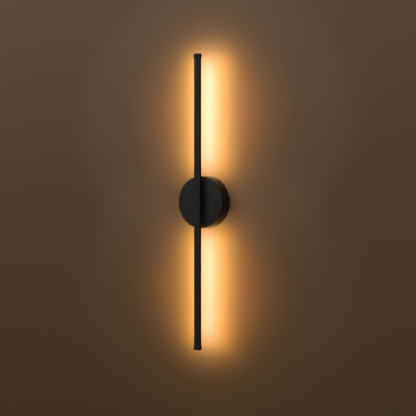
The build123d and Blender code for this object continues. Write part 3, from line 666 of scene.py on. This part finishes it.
def without(tree, solid, tool):
    """A solid with another taken away."""
    return add_node(tree, "GeometryNodeMeshBoolean", {
        "Mesh 1": solid, "Mesh 2": tool,
    }, operation="DIFFERENCE", solver="MANIFOLD").outputs["Mesh"]


def painted(tree, geometry, material, **part):
    """A solid, or the selected part of it, in one material."""
    return add_node(tree, "GeometryNodeSetMaterial", {
        "Geometry": geometry, "Material": material, **part,
    }).outputs["Geometry"]


# %% Piece trees
drill_steps = 40
no_thread = {"Pitch": 1.0, "Cut": 0.0, "Thread_Top": -1.0}


def drilled_tree(name, solid_tree, **sizes):
    """A drawn or turned solid, put in its place and drilled at the points."""
    tree, given, result = new_tree(
        name, Geometry="Geometry", Section="Object", Drill="Object", Turn="Rotation",
        Place="Vector", Material="Material", **sizes,
    )
    own = {label: given[label.replace("_", " ")] for label in sizes}
    solid = group(tree, solid_tree, Section=given["Section"], **own)
    solid = add_node(tree, "GeometryNodeTransform", {
        "Geometry": solid, "Translation": given["Place"], "Rotation": given["Turn"],
    }).outputs["Geometry"]
    drill = group(tree, turn_tree, Section=given["Drill"], Steps=drill_steps, **no_thread)
    solid = without(tree, solid, set_on_points(tree, given["Geometry"], drill))
    tree.links.new(painted(tree, solid, given["Material"]), result)
    return tree


drawn_piece = drilled_tree("drawn_piece", draw_tree, Length="Float")
turned_piece = drilled_tree(
    "turned_piece", turn_tree, Steps="Int", Pitch="Float", Cut="Float", Thread_Top="Float",
)
print("piece trees:", drawn_piece.name, turned_piece.name)

# %% [markdown]
# ### From a tree to a piece
#
# A tree runs on an object of loose points. What it makes is kept as a plain mesh at the origin,
# so that no modifier is left on the piece. The measure that is printed says how far its box
# departs from the CAD piece's box.

# %% Growing a piece
made = {}


sharp_angle = math.radians(32)


def grow(name, body, stands_for, tree, places=(), aims=(), **values):
    """Runs a tree on points and keeps the result as a plain piece that rides on a body."""
    points = bpy.data.meshes.new(name)
    points.from_pydata([Vector(place) * mm for place in places], [], [])
    aim = points.attributes.new("aim", "FLOAT_VECTOR", "POINT")
    aim.data.foreach_set("vector", [number for direction in aims for number in direction])
    seed = bpy.data.objects.new(name + "_seed", points)
    bpy.context.scene.collection.objects.link(seed)
    modifier = seed.modifiers.new("shape", "NODES")
    modifier.node_group = tree
    for socket in tree.interface.items_tree:
        label = socket.name.replace(" ", "_")
        if socket.in_out == "INPUT" and label in values:
            modifier[socket.identifier] = values[label]
    evaluated = seed.evaluated_get(bpy.context.evaluated_depsgraph_get())
    mesh = bpy.data.meshes.new_from_object(evaluated)
    mesh.name = name
    seed.modifiers.remove(modifier)
    bpy.data.objects.remove(seed)
    mesh.shade_smooth()
    mesh.set_sharp_from_angle(angle=sharp_angle)
    piece = bpy.data.objects.new(name, mesh)
    bpy.context.scene.collection.objects.link(piece)
    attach(piece, body)
    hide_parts(stands_for)
    made[stands_for] = piece
    low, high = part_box(stands_for)
    corners = [vertex.co for vertex in mesh.vertices]
    drift = max(
        max(abs(min(co[i] for co in corners) - low[i]), abs(max(co[i] for co in corners) - high[i]))
        for i in range(3)
    )
    print(f"{name}: {len(mesh.polygons)} faces, within {1000 * drift:.2f} mm of {stands_for}")
    return piece


# %% [markdown]
# ## The canopy
#
# On the real light this is a steel cup, pressed and turned, with a small radius where its face
# meets its side. That radius catches the only bright line on a black form, so it is worth more
# than any texture. The section is a thin L; two drilled holes in the side take the screws that
# hold the cup on its plate.

# %% Canopy
shell_wall = 1.2
shell_hole = 5.15
shell_radius = canopy_radius / mm
shell_depth = canopy_depth / mm
shell_inside, shell_floor = shell_radius - shell_wall, shell_depth - shell_wall
side_hole_radius, side_hole_depth = 2.05, 7.0  # the depth is from the wall
cup_steps = 180
cup = section("cup", [
    (shell_hole, shell_floor), (shell_inside, shell_floor, 0.5),
    (shell_inside, 0, 0.25), (shell_radius, 0, 0.3),
    (shell_radius, shell_depth, 0.9), (shell_hole, shell_depth, 0.15),
])
side_places = [(side * shell_radius, -side_hole_depth, 0) for side in (1, -1)]
sideways = [(1, 0, 0), (-1, 0, 0)]


def round_drill(name, radius, low, high):
    """A plain drill from one height to another along its aim."""
    return section(name, [(0, low), (radius, low), (radius, high), (0, high)], closed=False)


side_drill = round_drill("side_drill", side_hole_radius, -3, 1)
grow(
    "canopy_cup", "canopy", "canopy_shell", turned_piece, places=side_places, aims=sideways,
    Section=cup, Drill=side_drill, Turn=(math.radians(90), 0, 0), Steps=cup_steps,
    Material=finishes["black_shell"], **no_thread,
)

# %% [markdown]
# ## The tube
#
# The tube is an aluminium extrusion, open to the wall between two small lips. A web across it
# carries the boards on one side, and on the other side a slotted round port takes the screws of
# the end caps. It's a shape that no lathe can make, and one outline with one hole gives it all.
# Seen from above, angles start at the wall side.

# %% Tube
tube_wall = 1.2
tube_outer = tube_radius / mm
bore = tube_outer - tube_wall
mouth = 50.0
web = 0.6
lip_inner = bore * math.sin(math.radians(mouth))
lip_low = 3.0
port_height, port_bore, port_outer, port_slot = -4.38, 1.27, 2.02, 0.45
port_root = (0.752, -6.255)  # where the port's ring grows into the wall
foot_offset, foot_hole = 11, 1.55
nick = 0.15


def angle_of(x, y):
    """The angle of a point from +y towards +x, in degrees."""
    return math.degrees(math.atan2(x, y))


def both_sides(right):
    """A run of points and its mirror image, which goes back the other way."""
    return right + [(-x, *rest) for x, *rest in reversed(right) if abs(x) > on_axis]


def angle_at(x, radius):
    """The angle at which a circle reaches a distance from its middle line, in degrees."""
    return math.degrees(math.asin(x / radius))


lip_end = math.sqrt(bore**2 - lip_low**2)
web_end = math.sqrt(bore**2 - web**2)
shell_loop = both_sides(
    arc(tube_outer, 180, mouth, corners=nick)
    + [(lip_inner, bore * math.cos(math.radians(mouth)), nick), (lip_inner, lip_low, nick)]
    + arc(bore, angle_of(lip_end, lip_low), angle_of(web_end, web), corners=nick)
)
wall_meet = angle_of(*port_root)
ring_meet = angle_of(port_root[0], port_root[1] - port_height)
cavity_loop = both_sides(
    arc(bore, angle_of(web_end, -web), wall_meet, corners=nick)
    + arc(port_outer, ring_meet, angle_at(port_slot, port_outer), port_height, corners=nick)
    + arc(port_bore, angle_at(port_slot, port_bore), 180, port_height)
)
tube_section = section("tube_section", shell_loop, cavity_loop)
foot_drill = round_drill("foot_drill", foot_hole, -2 * web, 2 * web)
axis_depth = -tube_axis / mm
wallwards = (0, 1, 0)
grow(
    "extruded_tube", "tube", "tube_body", drawn_piece,
    places=[(0, axis_depth, -foot_offset), (0, axis_depth, foot_offset)], aims=[wallwards] * 2,
    Section=tube_section, Drill=foot_drill, Place=(0, -tube_axis, -tube_half),
    Length=2 * tube_half, Material=finishes["black_tube"],
)

# %% [markdown]
# ## Opal strips and the centre cover
#
# The strips are drawn as well, in opal plastic: a crown on the tube's own circle, and two legs
# that snap behind the lips by small hooks with a sloping nose. The black cover behind the
# canopy is a short length of the same strip, drilled for the stem.

# %% Strips
crown_edge = mouth - 0.7
crown_wall = 1.0
leg_outer, leg_inner, leg_foot = lip_inner - 0.12, lip_inner - 0.92, 2.1
hook_outer, hook_top, hook_nose = leg_outer + 0.4, 2.85, 2.62
crown_inner = tube_outer - crown_wall
snap_section = section("snap_section", both_sides(
    arc(tube_outer, 0, crown_edge, corners=0.2)
    + arc(crown_inner, crown_edge, angle_at(leg_outer, crown_inner), corners=0.1)
    + [(leg_outer, hook_top, 0.05), (hook_outer, hook_top, 0.1), (hook_outer, hook_nose, 0.08)]
    + [(leg_outer, leg_foot, 0.1), (leg_inner, leg_foot, 0.1)]
    + arc(crown_inner, angle_at(leg_inner, crown_inner), 0, corners=0.15)
))
stem_drill = round_drill("stem_drill", 4.05, 0, 8.5)
for name, stands_for, colour in (
    ("upper_strip", "upper_diffuser", "opal"),
    ("lower_strip", "lower_diffuser", "opal"),
    ("middle_strip", "centre_cover", slot_of["centre_cover"]),
):
    low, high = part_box(stands_for)
    centre_hole = [(0, axis_depth, 0)] if stands_for == "centre_cover" else []
    grow(
        name, "tube", stands_for, drawn_piece,
        places=centre_hole, aims=[wallwards] * len(centre_hole),
        Section=snap_section, Drill=stem_drill, Place=(0, -tube_axis, low.z), Length=high.z - low.z,
        Material=finishes[colour],
    )

# %% [markdown]
# ## End caps
#
# A cap is a turned cup that slips over the tube's end, and one countersunk screw holds it. The
# drill has the screw's own shape, so that the head lies flush. The lower cap is the upper one
# turned over; its screw hole stays at the front, because the holes are placed after the turn.

# %% Caps
cap_wall, cap_end, cap_steps = 0.75, 2.0, 96
cap_outer, cap_height = cap_radius / mm, cap_length / mm
cap_inner, cap_floor = cap_outer - cap_wall, cap_height - cap_end
cap_section = section("cap_section", [
    (0, cap_floor), (cap_inner, cap_floor, 0.2), (cap_inner, 0, 0.15), (cap_outer, 0, 0.2),
    (cap_outer, cap_height, 0.7), (0, cap_height),
], closed=False)
sink_radius, sink_depth = 2.4, 1.13
sink_drill = section("sink_drill", [
    (0, -4), (port_bore, -4), (port_bore, -sink_depth), (sink_radius, 0), (sink_radius, 1), (0, 1),
], closed=False)
tip = tube_half / mm + cap_end
for name, stands_for, way in (("upper_cap", "top_cap", 1), ("lower_cap", "bottom_cap", -1)):
    grow(
        name, "tube", stands_for, turned_piece,
        places=[(0, axis_depth + port_height, way * tip)], aims=[(0, 0, way)],
        Section=cap_section, Drill=sink_drill, Turn=(0 if way > 0 else math.pi, 0, 0),
        Place=(0, -tube_axis, way * (tip * mm - cap_length)), Steps=cap_steps,
        Material=finishes[slot_of[stands_for]], **no_thread,
    )

# %% [markdown]
# ## Screws
#
# Seven sets of screws hold the light together, in two shapes: low domed heads and flush
# countersunk ones. A screw could be modelled once and copied, but the sets differ in length,
# head and drive. So each set is one line of a table, and one tree turns the section, cuts the
# thread while it turns, sinks the drive into the head and sets the screw on each of its places.

# %% Screw tree
screw_steps = 32
punch_height = 2 * mm
screw_tree, given, result = new_tree(
    "screws", Geometry="Geometry", Section="Object", Pitch="Float", Cut="Float", Thread_Top="Float",
    Drive="Object", Drive_Depth="Float", Head_Top="Float", Material="Material",
)
blank = group(
    screw_tree, turn_tree, Section=given["Section"], Steps=screw_steps,
    Pitch=given["Pitch"], Cut=given["Cut"], Thread_Top=given["Thread Top"],
)
punch = group(screw_tree, draw_tree, Section=given["Drive"], Length=punch_height)
sunk = add_node(screw_tree, "ShaderNodeCombineXYZ", {
    "Z": math_node(screw_tree, "SUBTRACT", given["Head Top"], given["Drive Depth"]),
}).outputs["Vector"]
punch = add_node(screw_tree, "GeometryNodeTransform", {
    "Geometry": punch, "Translation": sunk,
}).outputs["Geometry"]
screws = set_on_points(screw_tree, given["Geometry"], without(screw_tree, blank, punch))
screw_tree.links.new(painted(screw_tree, screws, given["Material"]), result)
print(screw_tree.name, "has", len(screw_tree.nodes), "nodes")


# %% [markdown]
# ### Sections of a screw
#
# The shank needs several rows of points in each turn of the thread, or the cut has nothing to
# move. The head is either a dome on a short rim, or a cone that ends flush. The drive is a
# second outline: a hexagon, a slot or a cross.

# %% Screw sections
rows_per_turn = 6
sink_rim = 0.08  # how far a flush head stays upright below its edge
dome_step = 15  # degrees


def screw_section(name, radius, length, head_radius, head_height, pitch):
    """Half a screw: its thread below zero, and a domed head above or a cone below."""
    tip_cut = 0.3 * radius
    top = -head_radius + radius if not head_height else 0
    rows = int((length + top - tip_cut) / pitch * rows_per_turn)
    shank = [(radius, -length + tip_cut + pitch / rows_per_turn * i) for i in range(rows)]
    start = [(0, -length), (radius - tip_cut, -length)] + shank + [(radius, top)]
    if not head_height:
        head = [(head_radius, -sink_rim), (head_radius, 0), (0, 0)]
        return section(name, start + head, closed=False)
    rim = 0.35 * head_height
    angles = [math.radians(angle) for angle in range(0, 90, dome_step)]
    dome = [
        (head_radius * math.cos(angle), rim + (head_height - rim) * math.sin(angle))
        for angle in angles
    ]
    return section(name, start + [(head_radius, 0, 0.1)] + dome + [(0, head_height)], closed=False)


def drive_outline(name, kind, size):
    """A hexagon, a slot or a cross, of a size in millimetres."""
    if kind == "hex":
        angles = [math.radians(angle) for angle in range(0, 360, 60)]
        return section(name, [
            (size * math.cos(angle), size * math.sin(angle), 0.03) for angle in angles
        ])
    arm = 0.24 * size
    if kind == "slot":
        end = 3 * size
        return section(name, [(-end, -arm), (end, -arm), (end, arm), (-end, arm)])
    quarter = [(size, -arm, 0.05), (size, arm, 0.05), (arm, arm, 0.1)]
    return section(name, [
        (x * c - y * s, x * s + y * c, r)
        for c, s in ((1, 0), (0, 1), (-1, 0), (0, -1)) for x, y, r in quarter
    ])


# %% [markdown]
# ### The seven sets
#
# Each screw stands on what it holds down: a head's underside lies on the plate, the case's ears
# or the block, and a flush head's edge in the surface round it. The places that a CAD piece
# already shows are read from its box.

# %% Screw sets
roomwards = (0, -1, 0)
ear_offset, ear_top = 34, 3.5  # of the driver's case
block_offset, block_top = 5.25, 12.5
pole_offset, row_offset, barrel_top = 10.5, 4, 11.5
tag_top = 2.3
foot_top = 2
shell_screws = nodes["canopy_screws"].data.vertices
inner_tip = min(vertex.co.x for vertex in shell_screws if vertex.co.x > 0) / mm
driver_line = sum(corner.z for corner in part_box("driver_screws")) / 2 / mm
block_line = sum(corner.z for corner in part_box("block_screws")) / 2 / mm
earth_middle = sum((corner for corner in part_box("earth_screw")), Vector()) / 2 / mm
screw_sets = [
    # node, body, places, aims, radius, length, head radius, head height, drive, its size and depth
    ("canopy_screws", "canopy", side_places, sideways,
     2.0, shell_radius - inner_tip, 3.6, 1.8, "hex", 1.44, 1.2),
    ("cap_screws", "tube", [(0, axis_depth + port_height, way * tip) for way in (1, -1)],
     [(0, 0, 1), (0, 0, -1)], 1.25, 9.0, 2.35, 0, "hex", 0.87, 1.0),
    ("foot_screws", "tube", [(0, axis_depth + foot_top, z) for z in (-foot_offset, foot_offset)],
     [wallwards] * 2, 1.5, 4.26, 2.75, 0, "cross", 1.4, 0.9),
    ("driver_screws", "canopy", [(x, -ear_top, driver_line) for x in (-ear_offset, ear_offset)],
     [roomwards] * 2, 1.5, 3.5, 2.75, 2.0, "cross", 1.5, 1.1),
    ("block_screws", "canopy", [(x, -block_top, block_line) for x in (-block_offset, block_offset)],
     [roomwards] * 2, 1.5, 12.5, 2.75, 2.0, "cross", 1.5, 1.1),
    ("terminal_screws", "canopy",
     [(x, -barrel_top, block_line + z)
      for x in (-pole_offset, 0, pole_offset) for z in (-row_offset, row_offset)],
     [roomwards] * 6, 1.5, 1.9, 1.9, 1.2, "slot", 1.1, 0.7),
    ("earth_screw", "canopy", [(earth_middle.x, -tag_top, earth_middle.z)], [roomwards],
     2.0, 2.3, 3.2, 1.8, "cross", 1.7, 1.1),
]
for (node, body, places, aims, radius, length,
     head_radius, head_height, drive, drive_size, drive_depth) in screw_sets:
    pitch = 0.35 * radius
    thread_top = -0.4 if head_height else radius - head_radius - 0.2
    grow(
        node.replace("screw", "turned_screw"), body, node, screw_tree, places=places, aims=aims,
        Section=screw_section(node + "_section", radius, length, head_radius, head_height, pitch),
        Drive=drive_outline(node + "_drive", drive, drive_size),
        Pitch=pitch * mm, Cut=0.55 * pitch * mm, Thread_Top=thread_top * mm,
        Drive_Depth=drive_depth * mm, Head_Top=head_height * mm,
        Material=finishes[slot_of[node]],
    )

# %% [markdown]
# ## Chips
#
# Each board carries a row of small light sources at one pitch: a white housing with a yellow
# window sunk in its top. An array of copies would do. The tree does it in one step: it builds a
# chip from a box, insets its top face, pushes the window down, and repeats the chip on a line
# of points. How many there are follows from the CAD row's length and the pitch.

# %% Chip tree
window_share, window_depth = 0.8, 0.15 * mm
chip_tree, given, result = new_tree(
    "chips", Count="Int", First="Vector", Step="Vector", Size="Vector",
    Housing="Material", Window="Material",
)
box = add_node(chip_tree, "GeometryNodeMeshCube", {"Size": given["Size"]}).outputs["Mesh"]
up = add_node(chip_tree, "ShaderNodeSeparateXYZ", {
    "Vector": add_node(chip_tree, "GeometryNodeInputNormal").outputs["Normal"],
}).outputs["Y"]
top = math_node(chip_tree, "GREATER_THAN", up, 0.5)
inset = add_node(chip_tree, "GeometryNodeExtrudeMesh", {
    "Mesh": box, "Selection": top, "Offset": (0, 1, 0), "Offset Scale": 0.0, "Individual": False,
})
inner = add_node(chip_tree, "GeometryNodeScaleElements", {
    "Geometry": inset.outputs["Mesh"], "Selection": inset.outputs["Top"], "Scale": window_share,
}).outputs["Geometry"]
pushed = add_node(chip_tree, "GeometryNodeExtrudeMesh", {
    "Mesh": inner, "Selection": inset.outputs["Top"], "Offset": (0, 1, 0),
    "Offset Scale": -window_depth, "Individual": False,
})
chip = painted(chip_tree, pushed.outputs["Mesh"], given["Housing"])
chip = painted(chip_tree, chip, given["Window"], Selection=pushed.outputs["Top"])
row = add_node(chip_tree, "GeometryNodeMeshLine", {
    "Count": given["Count"], "Start Location": given["First"], "Offset": given["Step"],
}).outputs["Mesh"]
chips = add_node(chip_tree, "GeometryNodeInstanceOnPoints", {
    "Points": row, "Instance": chip,
}).outputs["Instances"]
chip_tree.links.new(add_node(chip_tree, "GeometryNodeRealizeInstances", {
    "Geometry": chips,
}).outputs["Geometry"], result)
print(chip_tree.name, "has", len(chip_tree.nodes), "nodes")

# %% Chips on both boards
chip_length, chip_pitch = 3.5 * mm, 9.6 * mm
for name, stands_for in (("upper_chips", "upper_leds"), ("lower_chips", "lower_leds")):
    low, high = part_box(stands_for)
    middle = (low + high) / 2
    steps_between = round((high.z - low.z - chip_length) / chip_pitch)
    grow(
        name, "tube", stands_for, chip_tree, Count=steps_between + 1,
        First=(middle.x, middle.y, low.z + chip_length / 2), Step=(0, 0, chip_pitch),
        Size=(high.x - low.x, high.y - low.y, chip_length),
        Housing=finishes["board_white"], Window=finishes["led_yellow"],
    )

# %% [markdown]
# ### Clear up
#
# The sections were only drawings for the trees. They aren't part of the light, so they go.

# %% Clear the sections away
for outline in [thing for thing in bpy.data.objects if thing.type == "CURVE"]:
    bpy.data.objects.remove(outline)
print(len(made), "pieces made")

# %% [markdown]
# ## The light on the wall
#
# Each strip washes the wall with warm light: near white close to the tube, amber beside it, and
# brown where it fades, some 200 mm away. A shining mesh would do it with more noise. So five
# area lamps lie along each strip, just outside its crown and facing the wall: a narrow core, a
# wider amber one, and three wide weak ovals whose sum fades like a real wash. The core is
# bluish, because the brown wall takes the blue out of a white one. The lower lamps are a little
# stronger, because the wall is darker there and the strips look alike in the photograph. The
# lamps lie a hair apart, because lamps in one plane hide each other, and they turn with the
# tube, because they are parented to the strip.

# %% Strip lamps
first_gap, layer_gap = 0.5 * mm, 0.15 * mm
wash_lamps = [
    # name, shape, width, length, radiance, colour
    ("core", "RECTANGLE", 12 * mm, 216 * mm, 66.0, (0.46, 0.49, 1.0)),
    ("inner_wash", "RECTANGLE", 98 * mm, 247 * mm, 11.6, (1.0, 0.69, 0.0)),
    ("wash", "ELLIPSE", 230 * mm, 270 * mm, 1.8, (1.0, 0.45, 0.0)),
    ("outer_wash", "ELLIPSE", 360 * mm, 340 * mm, 0.37, (1.0, 0.54, 0.11)),
    ("haze", "ELLIPSE", 660 * mm, 560 * mm, 0.16, (1.0, 0.88, 0.88)),
]
for strip, power in (("upper_diffuser", 0.94), ("lower_diffuser", 1.08)):
    low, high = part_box(strip)
    for layer, (name, shape, width, length, radiance, colour) in enumerate(wash_lamps):
        share = math.pi / 4 if shape == "ELLIPSE" else 1
        lamp_data = bpy.data.lights.new(f"{strip}_{name}", "AREA")
        lamp_data.shape = shape
        lamp_data.size = width
        lamp_data.size_y = length
        lamp_data.energy = power * radiance * math.pi * share * width * length
        lamp_data.color = colour
        lamp = bpy.data.objects.new(f"{strip}_{name}", lamp_data)
        lamp.location = (0, high.y + first_gap + layer * layer_gap, (low.z + high.z) / 2)
        lamp.rotation_euler = (math.radians(90), 0, 0)
        lamp.visible_camera = False
        lamp.visible_glossy = False
        bpy.context.scene.collection.objects.link(lamp)
        lamp.parent = made[strip]
    print(strip, f"{1000 * (high.z - low.z):.0f} mm long, {len(wash_lamps)} lamps")
